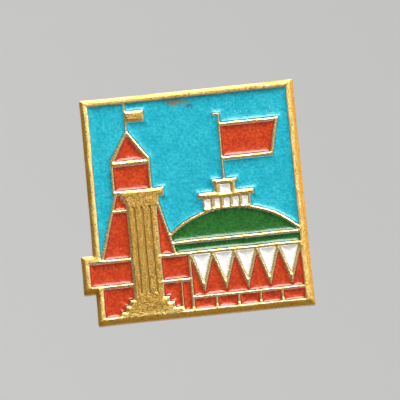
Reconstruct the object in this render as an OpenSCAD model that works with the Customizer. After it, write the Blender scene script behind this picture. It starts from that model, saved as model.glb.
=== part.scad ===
// Square stamped pin badge with painted enamel cells and a hinged needle clasp.
// Millimetres. +Z is up as worn, the picture faces -Y, and the origin is the centre of the flat back,
// which lies against the lapel. Artwork is drawn in a flat plan whose origin is the lower left corner
// of the square, and raise() stands that plan up.

/* [Plate] */
// Width of the square plate
plate_w = 23; // [21:0.5:25]
// Height of the plate
plate_h = 24.7; // [24.2:0.1:25.2]
// Thickness of the stamped metal, from the back to the raised lines
plate_t = 1.3; // [1.1:0.05:1.6]
// Width of the sloping edge around the front
edge_slope_w = 0.4; // [0.2:0.05:0.5]
// Height of the sloping edge
edge_slope_h = 0.55; // [0.3:0.05:0.7]
// Depth of the enamel cells below the raised lines
cell_depth = 0.45; // [0.3:0.05:0.6]
// How far the enamel surface lies below the raised lines
enamel_sink = 0.13; // [0.08:0.01:0.2]

/* [Raised lines] */
// Width of the ordinary raised lines
line_w = 0.34; // [0.25:0.01:0.4]
// Width of the flag poles
pole_w = 0.27; // [0.2:0.01:0.3]
// Width of the flat rim inside the sloping edge
rim_w = 0.45; // [0.35:0.05:0.5]

/* [Tower] */
// Distance of the roof's point and its flag pole from the left edge
roof_x = 4.72; // [4.5:0.01:4.9]
// Height of the roof's point
roof_top = 21; // [20.6:0.1:21.2]
// Left side of the pillar
pillar_x = 4; // [3.8:0.05:4.2]
// Width of the pillar
pillar_w = 3.3; // [3:0.05:3.5]
// Width of each step of the pillar's plinth
plinth_step = 0.5; // [0.4:0.05:0.55]

/* [Dome] */
// Distance of the dome's top from the left edge
dome_x = 15; // [14.8:0.1:15.2]
// Height of the dome's top
dome_top = 11.55; // [11.45:0.05:11.7]
// Radius of the dome's outer line
dome_r = 10.05; // [9.7:0.05:10.3]

/* [Bunting] */
// Number of white pennants, and of bricks below them
pennants = 5; // [4:1:6]
// Height of the pennants' points
pennant_tip = 2.9; // [2.8:0.1:3.6]

/* [Clasp] */
// Height of the clasp above the centre of the back
clasp_z = 0; // [-2:0.5:4]
// Distance of the hinge rivet to the right of the centre
hinge_x = 7.2; // [6:0.1:8]
// Distance of the middle of the hook to the left of the centre
hook_x = 7; // [6:0.1:8]
// Diameter of the needle's wire
needle_d = 0.8; // [0.7:0.05:0.9]
// Thickness of the clasp's sheet metal
sheet_t = 0.4; // [0.35:0.05:0.45]

/* [Hidden] */
$fn = 96;
eps = 0.01;
// How far a cutting shape passes the metal that it cuts.
over = 1;
pennant_names = [for (i = [1:pennants]) str("pennant_enamel_", i)];
brick_names = [for (i = [1:pennants]) str("brick_enamel_", i)];

// Inside of the rim, where the artwork lies.
art_left = edge_slope_w + rim_w;
art_right = plate_w - edge_slope_w - rim_w;
art_bottom = edge_slope_w + rim_w / 2;
art_top = plate_h - edge_slope_w - rim_w;

// The wall's end stands out past the left edge of the square.
step_out = 1.25;
step_bottom = 3.5;
step_top = 7.55;
step_overlap = 3;

// Horizontal raised lines, named by their lower edge. The wall's two lines are wall_sag wider below it.
wall_sag = 0.1;
wall_line = 6.6;
course_line = 3.8;
terrace_line = 7.78;
terrace_line_w = 0.4;
bunting_left = 10.4;
rail_w = 0.1;
bunting_right = art_right - rail_w;
pennant_pitch = (bunting_right - bunting_left) / pennants;
rib_w = 0.36;
gate_w = 0.8;
gate_left = bunting_left - line_w - gate_w;
gate_line = 0.22;
brick_line = 1.75;
brick_gap = 0.3;

// Tower outline, outer edges of its raised lines.
eave_z = 17.65;
roof_inset = 0.5;
roof_peak_drop = 0.7;
roof_foot_drop = 0.1;
eave_line = 0.6;
shaft_line = 0.37;
drum_left = 2.68;
drum_right = 7.02;
cornice_z = 13.8;
cornice_h = 0.48;
shaft_left_foot = [0.72, wall_line];
shaft_left_head = [2.8, cornice_z];
shaft_right_foot = [9.08, wall_line];
shaft_right_head = [7.28, cornice_z];
gallery_start = 2.73;
gallery_end = 8.2;
gallery_drop = 0.5;
belt_z = 11.9;
belt_h = 0.3;
pillar_right = pillar_x + pillar_w;
plinth_steps = 3;
plinth_bottom = 0.5;
plinth_step_h = 0.62;
capital_steps = 2;
capital_step_w = 0.28;
capital_step_h = 0.5;
flutes = 3;
flute_w = 0.2;
flute_depth = 0.16;
flute_margin = 0.5;

// Small house on the dome.
house_left = 12.15;
house_right = 17.35;
house_floor = 10.9;
house_eave = 12.5;
house_cornice_h = 0.66;
house_overhang = 0.45;
attic_w = 2.35;
attic_top = 14.12;
attic_cap_h = 0.38;
attic_cap_over = 0.2;
house_x = 14.7;
window_w = 0.6;
window_h = 0.85;
window_z = 11.48;
window_pitch = 1.0;
windows = 5;
attic_window = [1.05, 0.8];
attic_window_z = 13.06;
mast_top = 21.8;
finial = [0.8, 0.25];

// The big flag: upper left, upper right, lower right, lower left of its outer edge.
flag_outer = [[house_x, 20.7], [21.1, 20.7], [20.15, 16.5], [house_x, 16.5]];
flag_inner = [[house_x + pole_w / 2, 20.27], [20.66, 20.27], [19.84, 16.95], [house_x + pole_w / 2, 16.95]];
small_flag = [2.05, 1.3];
small_flag_z = 21.7;

// Clasp, in the part's own frame, measured back from the plate.
solder_t = 0.15;
solder_margin = 0.35;
pad_corner_r = 0.6;
needle_y = 1.65;
rivet_r = 0.4;
rivet_head_r = 0.72;
rivet_head_h = 0.26;
rivet_play = 0.02;
ear_r = 1.1;
ear_gap = 1.3;
web_back = 1.4;
web_front = 1.7;
bend_in_r = 0.25;
bend_out_r = bend_in_r + sheet_t;
eye_r = 0.92;
eye_bore_r = rivet_r + 0.08;
eye_t = 1;
neck_r = 0.62;
neck_end = 1.9;
socket_play = 0.05;
root_x = 1.5;
root_r = 0.22;
socket_r = root_r + socket_play;
wire_start = neck_end + socket_play;
taper_l = 3.3;
needle_overhang = 2;
needle_reach = hinge_x + hook_x + needle_overhang;
needle_tip_r = 0.06;
hook_w = 1.8;
hook_in_r = 0.5;
hook_lip_angle = 25;
hook_foot = 2.2;

// ---- helpers ----

// Stands a flat plan up, from a height of low to high above the back.
module raise(low, high) {
    rotate([90, 0, 0])
        translate([-plate_w / 2, -plate_h / 2, low])
            linear_extrude(high - low) children();
}

// A straight raised line between two points of the plan.
module stroke(from, to, w = line_w) {
    run = to - from;
    translate(from)
        rotate(atan2(run[1], run[0]))
            translate([0, -w / 2]) square([norm(run), w]);
}

module box2(left, bottom, right, top) {
    translate([left, bottom]) square([right - left, top - bottom]);
}

// Fills one cell of the plate with enamel.
module fill(tint) {
    color(tint) raise(plate_t - cell_depth, plate_t - enamel_sink) children();
}

// ---- raised artwork, in the plan ----

module roof_outline() {
    polygon([[roof_x, roof_top], [drum_right, eave_z], [drum_left, eave_z]]);
}

module shaft_outline() {
    polygon([shaft_left_foot, shaft_left_head, shaft_right_head, shaft_right_foot]);
}

module drum_outline() {
    box2(drum_left, cornice_z, drum_right, eave_z);
}

module gallery() {
    box2(gallery_start, cornice_z, gallery_end, cornice_z + cornice_h);
    box2(drum_right, cornice_z - gallery_drop, gallery_end, cornice_z + cornice_h);
}

// A fluted pillar's outline: shaft, stepped plinth and stepped capital.
module pillar() {
    box2(pillar_x, plinth_bottom, pillar_right, cornice_z + eps);
    for (i = [1:plinth_steps])
        box2(pillar_x - i * plinth_step, plinth_bottom,
            pillar_right + i * plinth_step, plinth_bottom + (plinth_steps + 1 - i) * plinth_step_h);
    for (i = [1:capital_steps])
        box2(pillar_x - i * capital_step_w, cornice_z - (capital_steps + 1 - i) * capital_step_h,
            pillar_right + i * capital_step_w, cornice_z + eps);
}

module tower_lines() {
    stroke([roof_x, roof_top - roof_peak_drop], [roof_x, art_top + eps], pole_w);
    box2(roof_x, small_flag_z, roof_x + small_flag[0], small_flag_z + small_flag[1]);
    gallery();
    pillar();
}

module dome_disc(r) {
    translate([dome_x, dome_top - dome_r]) circle(r);
}

module house() {
    box2(house_left, house_floor, house_right, house_eave + eps);
    box2(house_left - house_overhang, house_eave,
        house_right + house_overhang, house_eave + house_cornice_h);
    box2(house_x - attic_w / 2, house_eave, house_x + attic_w / 2, attic_top + eps);
    box2(house_x - attic_w / 2 - attic_cap_over, attic_top,
        house_x + attic_w / 2 + attic_cap_over, attic_top + attic_cap_h);
    stroke([house_x, attic_top], [house_x, mast_top], pole_w);
    box2(house_x + pole_w / 2 - finial[0], mast_top - finial[1], house_x + pole_w / 2, mast_top);
}

// Everything that stands up into the sky.
module skyline() {
    roof_outline();
    drum_outline();
    shaft_outline();
    tower_lines();
    dome_disc(dome_r);
    house();
    polygon(flag_outer);
}

// ---- enamel cells, in the plan ----

module sky() {
    difference() {
        box2(art_left, wall_line + line_w, art_right, art_top);
        skyline();
    }
}

module sky_left() {
    intersection() {
        sky();
        box2(0, 0, roof_x, plate_h);
    }
}

module sky_main() {
    intersection() {
        sky();
        box2(roof_x, 0, plate_w, plate_h);
    }
}

module roof_cell() {
    foot = eave_z - roof_foot_drop;
    polygon([[roof_x, roof_top - roof_peak_drop], [drum_right - roof_inset, foot],
        [drum_left + roof_inset, foot]]);
}

module drum_cell() {
    box2(drum_left + line_w, cornice_z + cornice_h,
        drum_right - line_w, eave_z - roof_foot_drop - eave_line);
}

// The tower's shaft inside its slanting edge lines.
module shaft_field() {
    polygon([shaft_left_foot + [shaft_line, 0], shaft_left_head + [shaft_line, 0],
        shaft_right_head - [shaft_line, 0], shaft_right_foot - [shaft_line, 0]]);
}

module tower_upper_cell() {
    difference() {
        intersection() {
            shaft_field();
            box2(0, belt_z + belt_h, pillar_x, cornice_z);
        }
        pillar();
    }
}

module tower_left_cell() {
    intersection() {
        shaft_field();
        box2(0, wall_line + line_w, pillar_x, belt_z);
    }
}

module tower_right_cell() {
    intersection() {
        shaft_field();
        box2(pillar_right, wall_line + line_w, art_right, cornice_z - capital_steps * capital_step_h);
    }
}

module wall_left_cell() {
    box2(art_left - step_out, course_line + line_w, pillar_x, wall_line - wall_sag);
}

module wall_right_cell() {
    box2(pillar_right, course_line + line_w, bunting_left - line_w, wall_line - wall_sag);
}

module base_left_cell() {
    difference() {
        box2(art_left, art_bottom, pillar_x, course_line - wall_sag);
        pillar();
    }
}

module base_right_cell() {
    difference() {
        box2(pillar_right, plinth_bottom + plinth_step_h, gate_left - gate_line, course_line - wall_sag);
        pillar();
    }
}

module gate_cell() {
    box2(gate_left, art_bottom, bunting_left - line_w, course_line - wall_sag);
}

module flag_cell() {
    polygon(flag_inner);
}

module dome_cell() {
    difference() {
        intersection() {
            dome_disc(dome_r - line_w);
            box2(pillar_right, terrace_line + terrace_line_w, art_right, dome_top);
        }
        shaft_outline();
    }
}

module terrace_cell() {
    difference() {
        box2(pillar_right, wall_line + line_w, art_right, terrace_line);
        shaft_outline();
    }
}

module window_cells() {
    for (i = [0:windows - 1])
        translate([house_x + (i - (windows - 1) / 2) * window_pitch - window_w / 2, window_z])
            square([window_w, window_h]);
}

module attic_window_cell() {
    translate([house_x - attic_window[0] / 2, attic_window_z]) square(attic_window);
}

// A pennant's triangle, shrunk by its rib where inset is the rib's width.
module pennant(i, inset) {
    half = pennant_pitch / 2;
    mid = bunting_left + (i - 0.5) * pennant_pitch;
    drop = wall_line - pennant_tip;
    slant = norm([half, drop]) / half;
    half_in = half - inset * norm([half, drop]) / drop;
    polygon([[mid - half_in, wall_line], [mid + half_in, wall_line], [mid, pennant_tip + inset * slant]]);
}

module pennant_cell(i) {
    intersection() {
        pennant(i, rib_w / 2);
        box2(bunting_left, 0, bunting_right, wall_line - wall_sag);
    }
}

module field_cell() {
    difference() {
        box2(bunting_left, brick_line + line_w, bunting_right, wall_line - wall_sag);
        for (i = [1:pennants]) pennant(i, -rib_w / 2);
    }
}

module brick_cell(i) {
    left = bunting_left + (i - 1) * pennant_pitch;
    box2(left + (i == 1 ? 0 : brick_gap / 2), art_bottom,
        left + pennant_pitch - (i == pennants ? 0 : brick_gap / 2), brick_line);
}

module all_cells() {
    sky_left();
    sky_main();
    roof_cell();
    drum_cell();
    tower_upper_cell();
    tower_left_cell();
    tower_right_cell();
    wall_left_cell();
    wall_right_cell();
    base_left_cell();
    base_right_cell();
    gate_cell();
    flag_cell();
    dome_cell();
    terrace_cell();
    window_cells();
    attic_window_cell();
    field_cell();
    for (i = [1:pennants]) {
        pennant_cell(i);
        brick_cell(i);
    }
}

// ---- plate ----

// One edge's sloping cut: a wedge lying along +X with its sharp corner at the front edge.
module edge_wedge(l) {
    rotate([90, 0, 90])
        linear_extrude(l)
            polygon([[-over, plate_t + over], [edge_slope_w, plate_t + over], [edge_slope_w, plate_t],
                [0, plate_t - edge_slope_h], [-over, plate_t - edge_slope_h]]);
}

// A slab in the plan with all four front edges sloped, w by h, standing on z = 0.
module sloped_slab(w, h) {
    difference() {
        cube([w, h, plate_t]);
        translate([-over, 0, 0]) edge_wedge(w + 2 * over);
        translate([w + over, h, 0]) rotate([0, 0, 180]) edge_wedge(w + 2 * over);
        translate([0, h + over, 0]) rotate([0, 0, -90]) edge_wedge(h + 2 * over);
        translate([w, -over, 0]) rotate([0, 0, 90]) edge_wedge(h + 2 * over);
    }
}

// Shallow upright grooves in the pillar's shaft.
module fluting() {
    for (i = [1:flutes])
        translate([pillar_x + i * pillar_w / (flutes + 1) - flute_w / 2, 0])
            box2(0, plinth_bottom + plinth_steps * plinth_step_h + flute_margin,
                flute_w, cornice_z - capital_steps * capital_step_h - flute_margin);
}

module badge_plate() {
    color("goldenrod") difference() {
        rotate([90, 0, 0]) translate([-plate_w / 2, -plate_h / 2, 0]) union() {
            sloped_slab(plate_w, plate_h);
            translate([-step_out, step_bottom, 0])
                sloped_slab(step_out + step_overlap, step_top - step_bottom);
        }
        raise(plate_t - cell_depth, plate_t + over) all_cells();
        raise(plate_t - flute_depth, plate_t + over) fluting();
    }
}

// ---- clasp ----

// Puts a part of the clasp at a distance x from the centre of the back.
module at_clasp(x) {
    translate([x, 0, clasp_z]) children();
}

// A thin pad with round corners lying on the back, w along X and h along Z.
module pad(w, h) {
    rotate([-90, 0, 0]) linear_extrude(solder_t) {
        square([w - 2 * pad_corner_r, h], center = true);
        square([w, h - 2 * pad_corner_r], center = true);
        for (x = [-1, 1], z = [-1, 1])
            translate([x * (w / 2 - pad_corner_r), z * (h / 2 - pad_corner_r)]) circle(pad_corner_r);
    }
}

module hinge_solder() {
    color("silver") at_clasp(hinge_x - (web_front - web_back) / 2)
        pad(web_back + web_front + 2 * solder_margin, ear_gap + 2 * sheet_t + 2 * solder_margin);
}

module hook_solder() {
    top = hook_in_r + sheet_t;
    color("silver") at_clasp(-hook_x) translate([0, 0, (top - hook_foot) / 2])
        pad(hook_w + 2 * solder_margin, hook_foot + top + 2 * solder_margin);
}

// A quarter of a bent sheet, round its inside corner, in the quarter plane with both coordinates negative.
module bend() {
    intersection() {
        difference() {
            circle(bend_out_r);
            circle(bend_in_r);
        }
        translate([-bend_out_r, -bend_out_r]) square(bend_out_r);
    }
}

// An ear above its bend, X across and Y away from the plate.
module ear_profile() {
    foot = solder_t + bend_out_r;
    translate([0, needle_y]) circle(ear_r);
    translate([-ear_r, foot]) square([2 * ear_r, needle_y - foot]);
}

// The bracket's web between its two bends, Z across and Y away from the plate.
module web_section() {
    flat_half = ear_gap / 2 - bend_in_r;
    translate([-flat_half, 0]) square([2 * flat_half, sheet_t]);
    for (side = [0, 1]) mirror([side, 0]) translate([-flat_half, bend_out_r]) bend();
}

module hinge_bracket() {
    width = ear_gap + 2 * sheet_t;
    color("gold") at_clasp(hinge_x) difference() {
        union() {
            for (end = [[-web_front, web_front - ear_r], [ear_r, web_back - ear_r]])
                translate([end[0], solder_t, -width / 2]) cube([end[1], sheet_t, width]);
            translate([ear_r, solder_t, 0]) rotate([0, -90, 0])
                linear_extrude(2 * ear_r) web_section();
            for (z = [-width / 2, ear_gap / 2])
                translate([0, 0, z]) linear_extrude(sheet_t) difference() {
                    ear_profile();
                    translate([-ear_r - over, 0]) square([2 * (ear_r + over), solder_t + bend_out_r]);
                }
        }
        translate([0, needle_y, 0]) cylinder(h = 2 * ear_gap, r = rivet_r + rivet_play, center = true);
    }
}

module hinge_rivet() {
    half = ear_gap / 2 + sheet_t + rivet_play;
    color("gold") at_clasp(hinge_x) translate([0, needle_y, 0]) {
        cylinder(h = 2 * half, r = rivet_r, center = true);
        for (side = [-1, 1])
            translate([0, 0, side * (half + rivet_head_h / 2)])
                cylinder(h = rivet_head_h, r = rivet_head_r, center = true);
    }
}

// Puts something in the needle's line, with +Z towards the point and the rivet at z = 0.
module in_needle_line() {
    at_clasp(hinge_x) translate([0, needle_y, 0]) rotate([0, -90, 0]) children();
}

// The eye that turns on the rivet, with a neck whose socket holds the needle's root.
module needle_knuckle() {
    color("gold") difference() {
        union() {
            at_clasp(hinge_x) translate([0, needle_y, 0]) cylinder(h = eye_t, r = eye_r, center = true);
            in_needle_line() cylinder(h = neck_end, r = neck_r);
        }
        at_clasp(hinge_x) translate([0, needle_y, 0]) cylinder(h = 2 * eye_t, r = eye_bore_r, center = true);
        in_needle_line() translate([0, 0, root_x]) {
            sphere(socket_r);
            cylinder(h = neck_end, r = socket_r);
        }
    }
}

module needle() {
    color("lightsteelblue") in_needle_line() {
        translate([0, 0, root_x]) sphere(root_r);
        translate([0, 0, root_x]) cylinder(h = wire_start - root_x, r = root_r);
        translate([0, 0, wire_start]) cylinder(h = needle_reach - taper_l - wire_start, d = needle_d);
        translate([0, 0, needle_reach - taper_l])
            cylinder(h = taper_l, r1 = needle_d / 2, r2 = needle_tip_r);
    }
}

// Side view of the hook, Y across and Z up: foot, bend, arm, and a curl that closes over the needle.
module hook_profile() {
    out_r = hook_in_r + sheet_t;
    bend_at = [solder_t + bend_out_r, out_r - bend_out_r];
    translate([solder_t, -hook_foot]) square([sheet_t, hook_foot + bend_at[1]]);
    translate(bend_at) mirror([0, 1]) bend();
    translate([bend_at[0], hook_in_r]) square([needle_y - bend_at[0], sheet_t]);
    translate([needle_y, 0]) difference() {
        circle(out_r);
        circle(hook_in_r);
        translate([-out_r - over, -out_r - over]) square([out_r + over, 2 * (out_r + over)]);
        rotate(-hook_lip_angle) translate([-over, -out_r - over]) square([out_r + 2 * over, out_r + over]);
    }
}

module catch_hook() {
    color("gold") at_clasp(-hook_x) rotate([90, 0, 90])
        translate([0, 0, -hook_w / 2]) linear_extrude(hook_w) hook_profile();
}

// ---- nodes ----

sky_tint = "deepskyblue";
red_tint = "orangered";
green_tint = "forestgreen";
white_tint = "white";

badge_plate();
fill(sky_tint) sky_left();  // sky_enamel_left
fill(sky_tint) sky_main();  // sky_enamel_main
fill(red_tint) roof_cell();  // roof_enamel
fill(red_tint) drum_cell();  // drum_enamel
fill(red_tint) tower_upper_cell();  // tower_enamel_upper
fill(red_tint) tower_left_cell();  // tower_enamel_left
fill(red_tint) tower_right_cell();  // tower_enamel_right
fill(red_tint) wall_left_cell();  // wall_enamel_left
fill(red_tint) wall_right_cell();  // wall_enamel_right
fill(red_tint) base_left_cell();  // base_enamel_left
fill(red_tint) base_right_cell();  // base_enamel_right
fill(red_tint) gate_cell();  // gate_enamel
fill(red_tint) flag_cell();  // flag_enamel
fill(green_tint) dome_cell();  // dome_enamel
fill(green_tint) terrace_cell();  // terrace_enamel
fill(white_tint) window_cells();  // window_enamel
fill(white_tint) attic_window_cell();  // attic_window_enamel
fill(red_tint) field_cell();  // field_enamel
for (i = [1:pennants]) {
    fill(white_tint) pennant_cell(i);
    fill(red_tint) brick_cell(i);
}
hinge_solder();
hook_solder();
hinge_bracket();
hinge_rivet();
needle_knuckle();
needle();
catch_hook();
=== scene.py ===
"""Looks of the enamel pin: a stamped relief plate, enamel fills that dish between their metal walls, and a
needle clasp on the back. Lengths are in millimetres until a mesh is made, and then in metres."""

import math

import bpy
import numpy as np
from mathutils import Matrix, Vector


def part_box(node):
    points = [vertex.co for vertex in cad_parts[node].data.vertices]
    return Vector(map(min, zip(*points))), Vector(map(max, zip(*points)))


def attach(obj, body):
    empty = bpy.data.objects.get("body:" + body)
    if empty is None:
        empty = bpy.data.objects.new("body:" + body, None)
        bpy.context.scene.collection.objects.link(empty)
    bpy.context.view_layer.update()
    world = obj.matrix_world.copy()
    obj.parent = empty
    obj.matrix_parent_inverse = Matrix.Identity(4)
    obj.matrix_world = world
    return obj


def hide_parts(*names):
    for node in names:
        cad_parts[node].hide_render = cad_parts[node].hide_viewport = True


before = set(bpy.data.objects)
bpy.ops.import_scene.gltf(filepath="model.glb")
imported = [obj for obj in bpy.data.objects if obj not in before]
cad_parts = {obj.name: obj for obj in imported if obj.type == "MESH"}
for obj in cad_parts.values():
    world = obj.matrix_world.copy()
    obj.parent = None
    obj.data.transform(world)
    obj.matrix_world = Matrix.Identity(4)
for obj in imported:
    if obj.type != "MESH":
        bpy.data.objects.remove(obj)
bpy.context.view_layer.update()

MM = 0.001

# The metal: its thickness from the plate's own box, and the step of the grid that its relief is made on.
PLATE_T = -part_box("badge_plate")[0].y / MM
PLATE_STEP = 0.08

# The sloping outer edge, the rim's flat measured from the outline, and the outline's unevenness.
SLOPE_W = 0.42
SLOPE_H = 0.55
RIM_W = 1.0
OUTLINE_WAVER = 0.05

# Enamel cells: their depth, the draft of their walls, and how deep and how far the metal rounds off by them.
CELL_DEPTH = 0.45
DRAFT = 0.12
CROWN = 0.13
CROWN_W = 0.28

# Flutes of the pillar: their depth, and where their walls start and end beside the CAD outline.
FLUTE_DEPTH = 0.16
FLUTE_EDGE = (-0.05, 0.09)

# Outer corners: how far from one to probe for metal, how they round off and flare out, and how the wall turns
# in at the back.
CORNER_PROBE = 0.1
CORNER_R = 0.14
CORNER_FLARE = 0.05
CORNER_FLARE_W = 1.6
BACK_ROUND = 0.07

# Unevenness of the cut lines, the metal and the fills, as layers of (depth, size of a lump).
WANDER = ((0.028, 1.7), (0.012, 0.5))
PLATE_LUMPS = ((0.012, 0.9), (0.005, 0.33))
ENAMEL_LUMPS = ((0.012, 2.1), (0.004, 0.6))
NOISE_TABLE = 256

# Enamel: how far below the metal it starts, how much it dishes and over what distance, how far it reaches
# into the cell's wall, and how thick it is.
ENAMEL_STEP = 0.09
ENAMEL_MARGIN = 0.2
ENAMEL_LIP = 0.1
ENAMEL_DISH = 0.2
ENAMEL_DISH_W = 0.28
ENAMEL_TUCK = 0.05
ENAMEL_THICK = 0.2
COAT_ROUGHNESS = 0.08

# Solder: how far it runs past the CAD pad, the width over which it climbs inside the pad, its height, the
# height of its edge, and how far it is sunk in the plate.
SOLDER_STEP = 0.06
SOLDER_SPREAD = 0.3
SOLDER_MARGIN = 0.35
SOLDER_H = 0.42
SOLDER_EDGE_H = 0.02
SOLDER_SUNK = 0.01

# How far the clasp's sharp edges are rounded.
CLASP_ROUND = 0.06

# Camera: where it stands round the plate, how it is turned, and the point near the middle it looks at.
CAMERA_AZIMUTH = 2
CAMERA_ELEVATION = -13.7
CAMERA_ROLL = 5.45
CAMERA_DISTANCE = 400
CAMERA_LENS = 337
CAMERA_AIM = (0.395, 0.335)

# The stage's radius, which takes in every camera.
FLOOR_R = 900


# ---- reading shapes from the frame ----

def flat_outline(node, facing, sunk=0.0):
    """The edges round a CAD node's flat faces towards -Y (facing -1) or +Y (facing 1), as pairs of (x, z)
    points. The faces are the outermost, or lie sunk mm below them."""
    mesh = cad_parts[node].data
    faces = [p for p in mesh.polygons if p.normal.y * facing > 0.999]
    level = max(p.center.y * facing for p in faces) - sunk * MM
    uses = {}
    for p in faces:
        if abs(level - p.center.y * facing) > 2e-6:
            continue
        corners = [mesh.vertices[i].co for i in p.vertices]
        ring = [(round(c.x / MM, 4), round(c.z / MM, 4)) for c in corners]
        for a, b in zip(ring, ring[1:] + ring[:1]):
            key = frozenset((a, b))
            uses[key] = uses.get(key, 0) + 1
    return [tuple(sorted(edge)) for edge, count in uses.items() if count == 1]


def signed_distance(points, edges, reach):
    """How far each point is inside the outline; negative outside it, and never under -reach."""
    ends = np.array(edges)
    low, high = ends.min((0, 1)) - reach, ends.max((0, 1)) + reach
    near = ((points > low) & (points < high)).all(1)
    x, z = points[near].T
    nearest = np.full(len(x), np.inf)
    inside = np.zeros(len(x), bool)
    for (ax, az), (bx, bz) in edges:
        run_x, run_z = bx - ax, bz - az
        along = ((x - ax) * run_x + (z - az) * run_z) / (run_x**2 + run_z**2)
        along = np.clip(along, 0, 1)
        nearest = np.minimum(nearest, (x - ax - along * run_x) ** 2 + (z - az - along * run_z) ** 2)
        if az != bz:
            crosses = (az > z) != (bz > z)
            inside ^= crosses & (x < ax + (z - az) * run_x / run_z)
    found = np.full(len(points), -float(reach))
    signed = np.where(inside, 1, -1) * np.sqrt(nearest)
    found[near] = np.maximum(signed, -reach)
    return found


# ---- height fields ----

def smooth(t):
    t = np.clip(t, 0, 1)
    return t * t * (3 - 2 * t)


def value_noise(x, z, size, seed):
    """Smooth random values from -1 to 1, with lumps about size across."""
    table = np.random.default_rng(seed).uniform(-1, 1, (NOISE_TABLE, NOISE_TABLE))
    u, v = x / size + 2 * NOISE_TABLE, z / size + 2 * NOISE_TABLE
    iu, iv = np.floor(u).astype(int), np.floor(v).astype(int)
    fu, fv = smooth(u - iu), smooth(v - iv)

    def corner(du, dv):
        return table[(iu + du) % NOISE_TABLE, (iv + dv) % NOISE_TABLE]

    low = corner(0, 0) * (1 - fu) + corner(1, 0) * fu
    high = corner(0, 1) * (1 - fu) + corner(1, 1) * fu
    return low * (1 - fv) + high * fv


def lumps(x, z, layers, seed):
    """The sum of layers of noise, each (depth, size of a lump), whose seeds count up from the one given."""
    return sum(depth * value_noise(x, z, size, seed + i) for i, (depth, size) in enumerate(layers))


def wander(points):
    """Moves points a little, so that the cut lines waver as in a hand-cut die."""
    x, z = points.T
    return points + np.stack([lumps(x, z, WANDER, 11), lumps(x, z, WANDER, 13)], 1)


def grid_lines(stops, step):
    """Evenly spaced values from the first stop to the last that include every stop."""
    lines = []
    for a, b in zip(stops, stops[1:]):
        count = max(1, round((b - a) / step))
        lines += [a + (b - a) * i / count for i in range(count)]
    return np.array(lines + [stops[-1]])


def grid_points(xs, zs):
    """Every crossing of columns at xs and rows at zs, one column after another."""
    return np.stack(np.meshgrid(xs, zs, indexing="ij"), -1).reshape(-1, 2)


def grid_past(outline, margin, step):
    """A grid's columns, rows and points, reaching past an outline by a margin on every side."""
    ends = np.array(outline)
    low, high = ends.min((0, 1)) - margin, ends.max((0, 1)) + margin
    xs, zs = grid_lines([low[0], high[0]], step), grid_lines([low[1], high[1]], step)
    return xs, zs, grid_points(xs, zs)


def make_object(name, vertices, faces, values=None, flat_faces=()):
    """A mesh object from points in mm, with smooth faces and named values at its points."""
    mesh = bpy.data.meshes.new(name)
    mesh.from_pydata((np.asarray(vertices) * MM).tolist(), [], faces)
    mesh.validate()
    mesh.shade_smooth()
    for i in flat_faces:
        mesh.polygons[i].use_smooth = False
    for key, numbers in (values or {}).items():
        mesh.attributes.new(key, "FLOAT", "POINT").data.foreach_set("value", np.asarray(numbers, np.float32))
    ob = bpy.data.objects.new(name, mesh)
    bpy.context.scene.collection.objects.link(ob)
    return ob


def kept_quads(keep):
    """Which grid points the squares marked in keep use, and those squares as quads that face -Y, with their
    corners numbered among the used points."""
    rows = keep.shape[1] + 1
    i, j = np.nonzero(keep)
    a = i * rows + j
    quads = np.stack([a, a + rows, a + rows + 1, a + 1], 1)
    used, numbers = np.unique(quads, return_inverse=True)
    return used, numbers.reshape(quads.shape)


def held_quads(held, xs, zs):
    """As kept_quads, for the squares whose four corners are all marked in held."""
    held = held.reshape(len(xs), len(zs))
    return kept_quads(held[1:, 1:] & held[:-1, 1:] & held[1:, :-1] & held[:-1, :-1])


def border_edges(quads):
    """Edges that only one quad uses, each in that quad's own direction."""
    starts, ends = quads.ravel(), np.roll(quads, -1, axis=1).ravel()
    key = np.minimum(starts, ends) * (quads.max() + 1) + np.maximum(starts, ends)
    _, first, count = np.unique(key, return_index=True, return_counts=True)
    chosen = first[count == 1]
    return np.stack([starts[chosen], ends[chosen]], 1)


def closed_faces(quads, count):
    """Faces of a closed body: the quads, the same quads turned round on points numbered count higher, and
    the wall between their borders."""
    start, end = border_edges(quads).T
    wall = np.stack([end, start, start + count, end + count], 1)
    return np.concatenate([quads, quads[:, ::-1] + count, wall]).tolist()


# ---- plate ----

def nodes_from(start):
    return sorted(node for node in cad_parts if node.startswith(start))


CELLS = {
    "sky": ["sky_enamel_left", "sky_enamel_main"],
    "red": ["roof_enamel", "drum_enamel", "tower_enamel_upper", "tower_enamel_left", "tower_enamel_right",
            "wall_enamel_left", "wall_enamel_right", "base_enamel_left", "base_enamel_right", "gate_enamel",
            "flag_enamel", "field_enamel"] + nodes_from("brick"),
    "green": ["dome_enamel", "terrace_enamel"],
    "white": ["window_enamel", "attic_window_enamel"] + nodes_from("pennant"),
}
SOLDERS = ("hinge_solder", "hook_solder")
solder_middles = [tuple(sum(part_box(node), Vector()) / 2 / MM) for node in SOLDERS]
cell_outlines = {node: flat_outline(node, -1) for nodes in CELLS.values() for node in nodes}
plate_outline = flat_outline("badge_plate", 1)
flute_outline = flat_outline("badge_plate", -1, FLUTE_DEPTH)


def deepest_cell(points, reach=1.2):
    """How far each point is inside whichever enamel cell holds it, or how far it is from the nearest."""
    found = np.full(len(points), -float(reach))
    for outline in cell_outlines.values():
        found = np.maximum(found, signed_distance(points, outline, reach))
    return found


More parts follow.
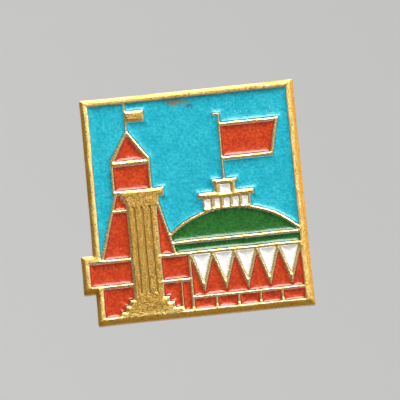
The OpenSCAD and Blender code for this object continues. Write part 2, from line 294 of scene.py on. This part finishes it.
def shape_corners(points):
    """Rounds each outer corner of the plate and lets it flare out a little, as the cutting die leaves it."""
    moved = points.copy()
    for corner in sorted({end for edge in plate_outline for end in edge}):
        at = np.array(corner)
        probes = at + CORNER_PROBE * np.array([(1, 1), (1, -1), (-1, 1), (-1, -1)])
        held = signed_distance(probes, plate_outline, 1) > 0
        if held.sum() != 1:
            continue
        inward = (probes[held][0] - at) / CORNER_PROBE
        depth = (points - at) * inward
        near = (depth > -1e-6).all(1) & (depth < CORNER_R).all(1)
        reach = CORNER_R - depth[near]
        size = np.maximum(np.hypot(*reach.T), 1e-9)
        moved[near] = at + inward * (CORNER_R - reach * (reach.max(1) / size)[:, None])
        pull = np.exp(-(depth / CORNER_FLARE_W) ** 2)
        moved -= inward * CORNER_FLARE * pull.prod(1)[:, None]
    return moved


def plate_relief(points):
    """Height of the metal's front above its back, and what the metal's colours depend on."""
    x, z = points.T
    cell = deepest_cell(wander(points))
    out = signed_distance(points, plate_outline, 1)
    out = np.maximum(out + OUTLINE_WAVER * value_noise(x, z, 2.3, 21) * (out > 0.02), 0)
    slope = 1 - smooth(out / SLOPE_W) * 0.6 - np.clip(out / SLOPE_W, 0, 1) * 0.4
    rim = smooth((RIM_W - out) / 0.2)
    height = PLATE_T - SLOPE_H * slope - CROWN * (1 - 0.5 * rim) * np.clip(1 + cell / CROWN_W, 0, 1) ** 2
    height -= CELL_DEPTH * smooth(cell / DRAFT)
    flute = signed_distance(wander(points), flute_outline, 1)
    flute_start, flute_end = FLUTE_EDGE
    height -= FLUTE_DEPTH * smooth((flute - flute_start) / (flute_end - flute_start))
    broad = smooth((-cell - 0.14) / 0.34) * smooth((out - 0.7) / 0.3)
    height += lumps(x, z, PLATE_LUMPS, 22)
    height += broad * (0.012 * value_noise(x, z, 0.24, 24) - 0.01)
    hollow = np.maximum(cell, np.minimum(flute, 0.0) - 0.03)
    return height, {"cell": hollow, "slope": slope, "broad": broad, "rim": rim}


def border_loop(quads):
    """The points round the quads' border, in the border's own direction."""
    border = border_edges(quads)
    follow = dict(border.tolist())
    start = int(border[0, 0])
    loop = [start]
    while follow[loop[-1]] != start:
        loop.append(follow[loop[-1]])
    return np.array(loop)


def wall_rings(edge):
    """Rings of points that go down from the front's edge to the back, and turn in a little there."""
    tangent = np.roll(edge, -1, 0) - np.roll(edge, 1, 0)
    outward = np.stack([-tangent[:, 2], np.zeros(len(edge)), tangent[:, 0]], 1)
    outward /= np.maximum(np.linalg.norm(outward, axis=1), 1e-9)[:, None]
    outward *= np.sign(((edge - edge.mean(0)) * outward).sum(1).mean())
    wall_h = -edge[:, 1].max()
    steps = [(0.88 * wall_h, 0.0), (0.44 * wall_h, 0.0), (BACK_ROUND, 0.0), (0.02, 0.02), (0.0, BACK_ROUND)]
    rings = []
    for height, inset in steps:
        ring = edge - outward * inset
        ring[:, 1] = -height
        rings.append(ring)
    return rings


def make_plate():
    """The whole metal plate as one closed body: the front's relief, the wall round it and the flat back."""
    ends = np.array(plate_outline)
    xs = grid_lines(np.unique(ends[..., 0]), PLATE_STEP)
    zs = grid_lines(np.unique(ends[..., 1]), PLATE_STEP)
    grid = grid_points(xs, zs)
    middles = grid_points((xs[1:] + xs[:-1]) / 2, (zs[1:] + zs[:-1]) / 2)
    keep = signed_distance(middles, plate_outline, 1) > 0
    used, quads = kept_quads(keep.reshape(len(xs) - 1, len(zs) - 1))
    height, values = plate_relief(grid)
    placed = shape_corners(grid)[used]
    front = np.stack([placed[:, 0], -height[used], placed[:, 1]], 1)

    above = border_loop(quads)
    rings = wall_rings(front[above])
    vertices, faces = [front], quads.tolist()
    total = len(front)
    for ring in rings:
        below = np.arange(total, total + len(ring))
        faces += np.stack([above, below, np.roll(below, -1), np.roll(above, -1)], 1).tolist()
        vertices.append(ring)
        above, total = below, total + len(ring)
    faces.append(above[::-1].tolist())

    extra = total - len(front)
    on_wall = {"cell": -1.0, "slope": 0.0, "broad": 0.0, "rim": 0.0}
    values = {key: np.concatenate([values[key][used], np.full(extra, on_wall[key])]) for key in on_wall}
    values["side"] = np.concatenate([np.zeros(len(front)), np.ones(extra)])
    return make_object("relief_plate", np.concatenate(vertices), faces, values, [len(faces) - 1])


# ---- enamel ----

def make_enamel(node):
    """One enamel fill: a closed body whose face dishes between the cell's walls."""
    outline = cell_outlines[node]
    xs, zs, grid = grid_past(outline, ENAMEL_MARGIN, ENAMEL_STEP)
    cell = signed_distance(wander(grid), outline, 1)
    used, quads = held_quads(cell > -ENAMEL_TUCK, xs, zs)
    x, z = grid[used].T
    cell = cell[used]
    depth = np.maximum(cell, 0)
    height = PLATE_T - ENAMEL_LIP - ENAMEL_DISH * (1 - np.exp(-depth / ENAMEL_DISH_W))
    height += smooth(depth / 0.5) * lumps(x, z, ENAMEL_LUMPS, 31)
    front = np.stack([x, -height, z], 1)
    back = front + (0, ENAMEL_THICK, 0)
    name = node.replace("_enamel", "") + "_fill"
    faces = closed_faces(quads, len(front))
    return make_object(name, np.concatenate([front, back]), faces, {"cell": np.tile(cell, 2)})


# ---- solder ----

def make_solder(node):
    """A run of solder where a clasp part's foot meets the plate: high by the foot, thin at an uneven edge."""
    outline = flat_outline(node, 1)
    xs, zs, grid = grid_past(outline, SOLDER_SPREAD, SOLDER_STEP)
    spread = SOLDER_SPREAD * (0.5 + 0.45 * value_noise(*grid.T, 0.9, 41))
    share = (signed_distance(grid, outline, 1) + spread) / (SOLDER_MARGIN + spread)
    used, quads = held_quads(share > 0, xs, zs)
    x, z = grid[used].T
    share = np.clip(share[used], 0, 1)
    height = SOLDER_EDGE_H + SOLDER_H * share**1.7 * (1 + 0.12 * value_noise(x, z, 0.45, 42))
    height += share * 0.02 * value_noise(x, z, 0.2, 43)
    top = np.stack([x, height, z], 1)
    bottom = np.stack([x, np.full(len(x), -SOLDER_SUNK), z], 1)
    name = node.replace("solder", "solder_run")
    return make_object(name, np.concatenate([top, bottom]), closed_faces(quads[:, ::-1], len(top)))


# ---- materials ----

SOCKETS = {"color": "Base Color", "metallic": "Metallic", "roughness": "Roughness", "normal": "Normal",
           "specular": "Specular IOR Level", "coat": "Coat Weight"}


class Shading:
    """A node material built by short calls."""

    def __init__(self, name):
        self.material = bpy.data.materials.new(name)
        self.material.use_nodes = True
        self.tree = self.material.node_tree
        self.shader = self.tree.nodes["Principled BSDF"]
        where = self.tree.nodes.new("ShaderNodeTexCoord").outputs["Object"]
        self.place = self.vector("MULTIPLY", where, (1 / MM,) * 3)

    def link(self, value, socket):
        if isinstance(value, bpy.types.NodeSocket):
            self.tree.links.new(value, socket)
        else:
            socket.default_value = value

    def vector(self, operation, a, b):
        node = self.tree.nodes.new("ShaderNodeVectorMath")
        node.operation = operation
        self.link(a, node.inputs[0])
        self.link(b, node.inputs[1])
        return node.outputs[0]

    def length(self, vector):
        node = self.tree.nodes.new("ShaderNodeVectorMath")
        node.operation = "LENGTH"
        self.link(vector, node.inputs[0])
        return node.outputs["Value"]

    def math(self, operation, a, b):
        node = self.tree.nodes.new("ShaderNodeMath")
        node.operation = operation
        self.link(a, node.inputs[0])
        self.link(b, node.inputs[1])
        return node.outputs[0]

    def value(self, name):
        node = self.tree.nodes.new("ShaderNodeAttribute")
        node.attribute_name = name
        return node.outputs["Fac"]

    def noise(self, size, detail=3, stretch=None, offset=0.0, rough=0.55):
        """Noise from 0 to 1 with lumps about size mm across."""
        node = self.tree.nodes.new("ShaderNodeTexNoise")
        at = self.vector("ADD", self.place, (offset,) * 3)
        if stretch:
            at = self.vector("MULTIPLY", at, stretch)
        self.link(at, node.inputs["Vector"])
        node.inputs["Scale"].default_value = 1 / size
        node.inputs["Detail"].default_value = detail
        node.inputs["Roughness"].default_value = rough
        return node.outputs["Fac"]

    def spots(self, size, offset=0.0):
        """Distance to the nearest of many scattered points, about size mm apart."""
        node = self.tree.nodes.new("ShaderNodeTexVoronoi")
        self.link(self.vector("ADD", self.place, (offset,) * 3), node.inputs["Vector"])
        node.inputs["Scale"].default_value = 1 / size
        return node.outputs["Distance"]

    def span(self, value, low, high, to_low=0.0, to_high=1.0):
        """Maps low..high to to_low..to_high, held at the ends."""
        node = self.tree.nodes.new("ShaderNodeMapRange")
        node.interpolation_type = "SMOOTHSTEP"
        self.link(value, node.inputs["Value"])
        for key, number in (("From Min", low), ("From Max", high), ("To Min", to_low), ("To Max", to_high)):
            node.inputs[key].default_value = number
        return node.outputs["Result"]

    def mix(self, share, a, b):
        node = self.tree.nodes.new("ShaderNodeMix")
        node.data_type = "RGBA"
        self.link(share, node.inputs["Factor"])
        self.link((*a, 1) if isinstance(a, tuple) else a, node.inputs["A"])
        self.link((*b, 1) if isinstance(b, tuple) else b, node.inputs["B"])
        return node.outputs["Result"]

    def part_of(self, vector, axis):
        node = self.tree.nodes.new("ShaderNodeSeparateXYZ")
        self.link(vector, node.inputs[0])
        return node.outputs[axis]

    def ball(self, centre, radius):
        """1 at a point in mm, falling to 0 at a distance from it."""
        away = self.length(self.vector("SUBTRACT", self.place, centre))
        return self.span(away, 0.3 * radius, radius, 1.0, 0.0)

    def bump(self, height, depth, after=None):
        """Adds a bump whose full range is depth mm."""
        node = self.tree.nodes.new("ShaderNodeBump")
        node.inputs["Distance"].default_value = depth * MM
        self.link(height, node.inputs["Height"])
        if after:
            self.link(after, node.inputs["Normal"])
        return node.outputs["Normal"]

    def finish(self, **sockets):
        for key, value in sockets.items():
            self.link((*value, 1) if isinstance(value, tuple) else value, self.shader.inputs[SOCKETS[key]])
        return self.material


def plate_metal():
    """Stamped yellow metal: bright on the raised lines, with a painted cream highlight along their edges by
    the enamel, olive and coarse on broad faces, orange on the sloping edges, brown in the hollows, and
    rubbed, scratched and heat-stained on the back."""
    s = Shading("plate_metal")
    cloud = s.noise(1.6, 4)
    grain = s.noise(0.16, 5, offset=3.0, rough=0.7)
    fine = s.noise(0.05, 3, offset=7.0)
    scratch = s.noise(0.3, 3, stretch=(0.25, 1, 1.9), offset=11.0)
    streak = s.noise(0.22, 4, stretch=(1, 1, 0.22), offset=17.0)
    pitting = s.noise(0.3, 5, offset=23.0, rough=0.75)
    broad, rim, side, cell = s.value("broad"), s.value("rim"), s.value("side"), s.value("cell")
    slope = s.span(s.value("slope"), 0.02, 0.35)
    front_share = s.math("SUBTRACT", 1.0, s.math("MULTIPLY", side, 0.7))
    # Painted highlight: the raised lines are painted a paler cream near their edges by the enamel, standing
    # in for the light caught on their rounded tops.
    painted_highlight = s.math("MULTIPLY", s.span(cell, -0.32, -0.06, 0.0, 0.6), s.span(broad, 0.5, 0.0))
    edges = s.span(s.math("ADD", rim, slope), 0.0, 0.8, 0.15, 0.75)
    pits = s.math("MULTIPLY", s.span(pitting, 0.55, 0.64), edges)

    front = s.mix(s.span(cloud, 0.35, 0.65), (0.84, 0.50, 0.085), (0.94, 0.68, 0.22))
    front = s.mix(s.math("MULTIPLY", broad, s.span(grain, 0.36, 0.64, 1.0, 0.6)), front, (0.34, 0.19, 0.035))
    front = s.mix(s.math("MULTIPLY", broad, s.span(streak, 0.5, 0.66, 0.0, 0.5)), front, (0.62, 0.38, 0.10))
    front = s.mix(s.math("MULTIPLY", rim, 0.3), front, (0.95, 0.70, 0.24))
    front = s.mix(s.math("MULTIPLY", slope, 0.9), front, (0.95, 0.46, 0.04))
    front = s.mix(s.math("MULTIPLY", side, 0.85), front, (0.82, 0.42, 0.06))
    front = s.mix(s.math("MULTIPLY", front_share, s.span(grain, 0.58, 0.34, 0.0, 0.6)), front, (0.38, 0.18, 0.03))
    front = s.mix(s.math("MULTIPLY", broad, s.span(grain, 0.58, 0.68, 0.0, 0.8)), front, (0.90, 0.70, 0.30))
    # The painted cream highlight on the raised lines, weaker on the wall.
    front = s.mix(s.math("MULTIPLY", painted_highlight, front_share), front, (0.97, 0.80, 0.44))
    front = s.mix(s.math("MULTIPLY", pits, front_share), front, (0.30, 0.15, 0.025))
    front = s.mix(s.span(cell, -0.03, 0.06, 0.0, 0.75), front, (0.30, 0.14, 0.02))

    behind = s.span(s.part_of(s.place, "Y"), -0.12, -0.03)
    stain = s.math("MAXIMUM", s.ball(solder_middles[0], 4.2), s.ball(solder_middles[1], 3.6))
    stain = s.math("MULTIPLY", stain, s.span(cloud, 0.3, 0.6, 0.5, 1.0))
    back = s.mix(s.span(cloud, 0.38, 0.62), (0.60, 0.43, 0.17), (0.68, 0.50, 0.22))
    back = s.mix(s.span(grain, 0.56, 0.36, 0.0, 0.5), back, (0.25, 0.16, 0.06))
    back = s.mix(s.math("MULTIPLY", stain, 0.8), back, (0.22, 0.11, 0.05))

    dull = s.math("MULTIPLY", s.math("MAXIMUM", broad, s.math("MULTIPLY", rim, 0.6)), 0.16)
    rough = s.math("ADD", s.span(grain, 0.35, 0.65, 0.17, 0.34), dull)
    coarse = s.math("ADD", s.math("ADD", broad, behind), s.math("MULTIPLY", rim, 0.5))
    coarse = s.span(coarse, 0.0, 0.8, 0.3, 1.0)
    normal = s.bump(s.math("MULTIPLY", grain, coarse), 0.08)
    normal = s.bump(s.math("MULTIPLY", streak, broad), 0.04, normal)
    normal = s.bump(pits, -0.02, normal)
    normal = s.bump(scratch, 0.02, normal)
    normal = s.bump(fine, 0.008, normal)
    return s.finish(color=s.mix(behind, front, back), metallic=1.0, roughness=rough, normal=normal)


def clasp_brass():
    s = Shading("clasp_brass")
    cloud = s.noise(0.9, 4)
    grain = s.noise(0.1, 4, offset=2.0)
    drawn = s.noise(0.12, 3, stretch=(0.15, 1, 1), offset=5.0)
    base = s.mix(s.span(cloud, 0.35, 0.65), (0.60, 0.39, 0.13), (0.80, 0.58, 0.26))
    base = s.mix(s.span(grain, 0.58, 0.40, 0.0, 0.6), base, (0.24, 0.14, 0.05))
    normal = s.bump(drawn, 0.012, s.bump(grain, 0.01))
    return s.finish(color=base, metallic=1.0, roughness=s.span(grain, 0.3, 0.7, 0.22, 0.42), normal=normal)


def needle_steel():
    s = Shading("needle_steel")
    drawn = s.noise(0.08, 3, stretch=(0.05, 1, 1))
    cloud = s.noise(0.8, 4, offset=4.0)
    base = s.mix(s.span(cloud, 0.4, 0.68), (0.66, 0.65, 0.63), (0.50, 0.47, 0.42))
    rough = s.span(cloud, 0.3, 0.7, 0.14, 0.26)
    return s.finish(color=base, metallic=1.0, roughness=rough, normal=s.bump(drawn, 0.004))


def dull_solder():
    s = Shading("dull_solder")
    cloud = s.noise(0.35, 4)
    fine = s.noise(0.09, 3, offset=6.0)
    base = s.mix(s.span(cloud, 0.35, 0.65), (0.42, 0.41, 0.39), (0.62, 0.61, 0.58))
    normal = s.bump(fine, 0.01, s.bump(cloud, 0.04))
    return s.finish(color=base, metallic=1.0, roughness=s.span(fine, 0.3, 0.7, 0.35, 0.55), normal=normal)


def enamel(name, color, deep_tone_and_shade, pale, specks, speck_share):
    """Glossy cold enamel: darker by the walls as painted shade, clouded, with a leathery skin, pinholes and a
    few specks.
    Returns the shading with its colour, roughness and normal."""
    s = Shading(name)
    cloud = s.noise(1.3, 4)
    mottle = s.noise(0.32, 4, offset=9.0, rough=0.65)
    skin = s.noise(0.13, 3, offset=15.0, rough=0.6)
    speck_areas = s.span(s.noise(1.1, 2, offset=13.0), 0.52, 0.60)
    hole_areas = s.span(s.noise(1.5, 2, offset=27.0), 0.5, 0.6)
    dots = s.math("MULTIPLY", s.span(s.spots(0.7), 0.11, 0.04), speck_areas)
    holes = s.math("MULTIPLY", s.span(s.spots(0.95, 31.0), 0.08, 0.03), hole_areas)

    base = s.mix(s.span(cloud, 0.35, 0.65), color, pale)
    base = s.mix(s.span(mottle, 0.60, 0.36, 0.0, 0.6), base, deep_tone_and_shade)
    base = s.mix(s.span(skin, 0.52, 0.70, 0.0, 0.4), base, pale)
    # Painted shade: the enamel is darkened along its cell's walls, where their shadow falls. The same deep
    # colour also gives the real mottle and pinholes.
    base = s.mix(s.span(s.value("cell"), 0.14, 0.0, 0.0, 0.75), base, deep_tone_and_shade)
    base = s.mix(s.math("MULTIPLY", dots, speck_share), base, specks)
    base = s.mix(s.math("MULTIPLY", holes, 0.7), base, deep_tone_and_shade)
    normal = s.bump(mottle, 0.045)
    normal = s.bump(skin, 0.02, normal)
    normal = s.bump(s.math("ADD", dots, holes), -0.03, normal)
    return s, base, s.span(mottle, 0.3, 0.7, 0.15, 0.3), normal


def finish_enamel(s, base, rough, normal, coat):
    s.shader.inputs["Coat Roughness"].default_value = COAT_ROUGHNESS
    return s.finish(color=base, roughness=rough, normal=normal, specular=0.3, coat=coat)


def plain_enamel(*facts):
    return finish_enamel(*enamel(*facts), 0.35)


def sky_enamel():
    """Sky enamel, with a brown stain and a dark chip by the top of the plate, and a few short scratches."""
    s, base, rough, normal = enamel("sky_enamel", (0.008, 0.44, 0.56), (0.003, 0.24, 0.34),
                                    (0.025, 0.52, 0.63), (0.75, 0.85, 0.82), 0.7)
    stain_middle, stain_size = (-1.1, 0, 11.1), (2.2, 9, 1.0)
    reach = s.length(s.vector("DIVIDE", s.vector("SUBTRACT", s.place, stain_middle), stain_size))
    blotch = s.noise(0.45, 5, offset=21.0, rough=0.7)
    ragged = s.math("ADD", reach, s.math("MULTIPLY", blotch, 2.4))
    base = s.mix(s.span(ragged, 1.75, 1.35, 0.0, 0.75), base, (0.22, 0.17, 0.05))
    chip = s.math("MULTIPLY", s.ball((0.25, -1.1, 10.45), 0.5), s.span(blotch, 0.42, 0.5))
    base = s.mix(chip, base, (0.05, 0.06, 0.05))
    nick = s.noise(0.5, 2, stretch=(3.2, 1, 0.35), offset=33.0)
    nicks = s.math("MULTIPLY", s.span(nick, 0.675, 0.72), s.ball((6.5, -1.1, 10.3), 5.5))
    base = s.mix(s.math("MULTIPLY", nicks, 0.7), base, (0.55, 0.80, 0.82))
    return finish_enamel(s, base, rough, normal, 0.15)


def set_material(ob, material):
    ob.data.materials.clear()
    ob.data.materials.append(material)


# ---- stage, light and camera ----

def turned(azimuth, elevation):
    """The direction from the plate towards a viewer."""
    a, e = math.radians(azimuth), math.radians(elevation)
    return Vector((math.sin(a) * math.cos(e), -math.cos(a) * math.cos(e), math.sin(e)))


def make_camera():
    back = turned(CAMERA_AZIMUTH, CAMERA_ELEVATION)
    right = (-back).cross(Vector((0, 0, 1))).normalized()
    up = right.cross(-back)
    aim = (right * CAMERA_AIM[0] + up * CAMERA_AIM[1]) * MM
    roll = Matrix.Rotation(math.radians(CAMERA_ROLL), 3, -back)
    camera = bpy.data.objects.new("camera", bpy.data.cameras.new("camera"))
    camera.data.lens = CAMERA_LENS
    camera.data.clip_start = 0.01
    camera.data.clip_end = 10
    axes = Matrix((right, up, back)).transposed()
    camera.matrix_world = Matrix.Translation(aim + back * CAMERA_DISTANCE * MM) @ (roll @ axes).to_4x4()
    bpy.context.scene.collection.objects.link(camera)
    bpy.context.scene.camera = camera


def make_floor():
    """The stage: a plain pale shell all round the pin, with every camera inside it. It is seen, but it casts
    no shadow and isn't mirrored, so the pin is lit by the lamps and the world alone."""
    rings, sides = 24, 48
    vertices, faces = [], []
    for i in range(rings + 1):
        tilt = math.pi * (i + 0.5) / (rings + 1) - math.pi / 2
        for j in range(sides):
            turn = 2 * math.pi * j / sides
            level = math.cos(tilt)
            vertices.append((level * math.cos(turn), level * math.sin(turn), math.sin(tilt)))
    for i in range(rings):
        for j in range(sides):
            low, low_next = i * sides + j, i * sides + (j + 1) % sides
            faces.append([low, low + sides, low_next + sides, low_next])
    faces += [list(range(sides)), list(range(rings * sides, (rings + 1) * sides))[::-1]]
    floor = make_object("floor", np.array(vertices) * FLOOR_R, faces)
    s = Shading("floor_paper")
    normal = s.bump(s.noise(0.5, 4), 0.02)
    set_material(floor, s.finish(color=(0.90, 0.90, 0.89), roughness=0.9, normal=normal))
    floor.visible_glossy = False
    floor.visible_diffuse = False
    floor.visible_shadow = False


def make_light(name, azimuth, elevation, distance, size, power):
    """A white lamp, size[0] by size[1] m, that faces the pin from a distance in m."""
    lamp = bpy.data.lights.new(name, "AREA")
    lamp.shape = "RECTANGLE"
    lamp.size, lamp.size_y = size
    lamp.energy = power
    ob = bpy.data.objects.new(name, lamp)
    direction = turned(azimuth, elevation)
    facing = direction.to_track_quat("Z", "Y").to_matrix().to_4x4()
    ob.matrix_world = Matrix.Translation(direction * distance) @ facing
    bpy.context.scene.collection.objects.link(ob)


def make_world(level, slant):
    """A soft surround whose brightness slants from side to side, from front to back and from low to high."""
    world = bpy.data.worlds.new("studio")
    world.use_nodes = True
    tree = world.node_tree
    tree.nodes["Background"].inputs["Color"].default_value = (1, 1, 1, 1)
    lean = tree.nodes.new("ShaderNodeVectorMath")
    lean.operation = "DOT_PRODUCT"
    tree.links.new(tree.nodes.new("ShaderNodeTexCoord").outputs["Generated"], lean.inputs[0])
    lean.inputs[1].default_value = slant
    total = tree.nodes.new("ShaderNodeMath")
    total.operation = "ADD"
    tree.links.new(lean.outputs["Value"], total.inputs[0])
    total.inputs[1].default_value = level
    tree.links.new(total.outputs[0], tree.nodes["Background"].inputs["Strength"])
    bpy.context.scene.world = world


# ---- putting it together ----

def soften(node, width):
    """Rounds the sharp edges of a CAD node that stays in view."""
    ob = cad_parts[node]
    ob.modifiers.new("weld", "WELD").merge_threshold = 1e-6
    bevel = ob.modifiers.new("bevel", "BEVEL")
    bevel.width = width * MM
    bevel.segments = 3
    bevel.angle_limit = math.radians(35)
    bevel.harden_normals = False
    ob.data.shade_smooth()


def take_place(ob, material, node):
    """Puts a made mesh on the badge body in the place of a CAD node."""
    set_material(ob, material)
    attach(ob, "badge")
    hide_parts(node)


def main():
    bpy.context.scene.view_settings.view_transform = "Standard"
    make_camera()
    make_world(0.47, (0.22, 0.10, 0.10))
    make_light("top_softbox", 24, 56, 0.55, (0.4, 0.22), 4.9)
    make_light("right_softbox", 98, 14, 0.6, (0.25, 0.4), 0.45)
    make_light("rear_fill", 192, 54, 0.6, (0.4, 0.4), 2)
    make_floor()

    take_place(make_plate(), plate_metal(), "badge_plate")
    enamels = {
        "sky": sky_enamel(),
        "red": plain_enamel("red_enamel", (0.60, 0.044, 0.002), (0.26, 0.008, 0.001), (0.68, 0.065, 0.005),
                            (0.85, 0.60, 0.50), 0.5),
        "green": plain_enamel("green_enamel", (0.012, 0.14, 0.012), (0.003, 0.04, 0.004), (0.02, 0.18, 0.02),
                              (0.5, 0.6, 0.5), 0.3),
        "white": plain_enamel("white_enamel", (0.94, 0.93, 0.88), (0.80, 0.76, 0.66), (0.96, 0.96, 0.94),
                              (0.10, 0.08, 0.05), 0.8),
    }
    for tint, nodes in CELLS.items():
        for node in nodes:
            take_place(make_enamel(node), enamels[tint], node)
    solder = dull_solder()
    for node in SOLDERS:
        take_place(make_solder(node), solder, node)

    brass = clasp_brass()
    for node in ("hinge_bracket", "catch_hook", "hinge_rivet", "needle_knuckle"):
        set_material(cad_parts[node], brass)
        soften(node, CLASP_ROUND)
    set_material(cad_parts["needle"], needle_steel())


main()
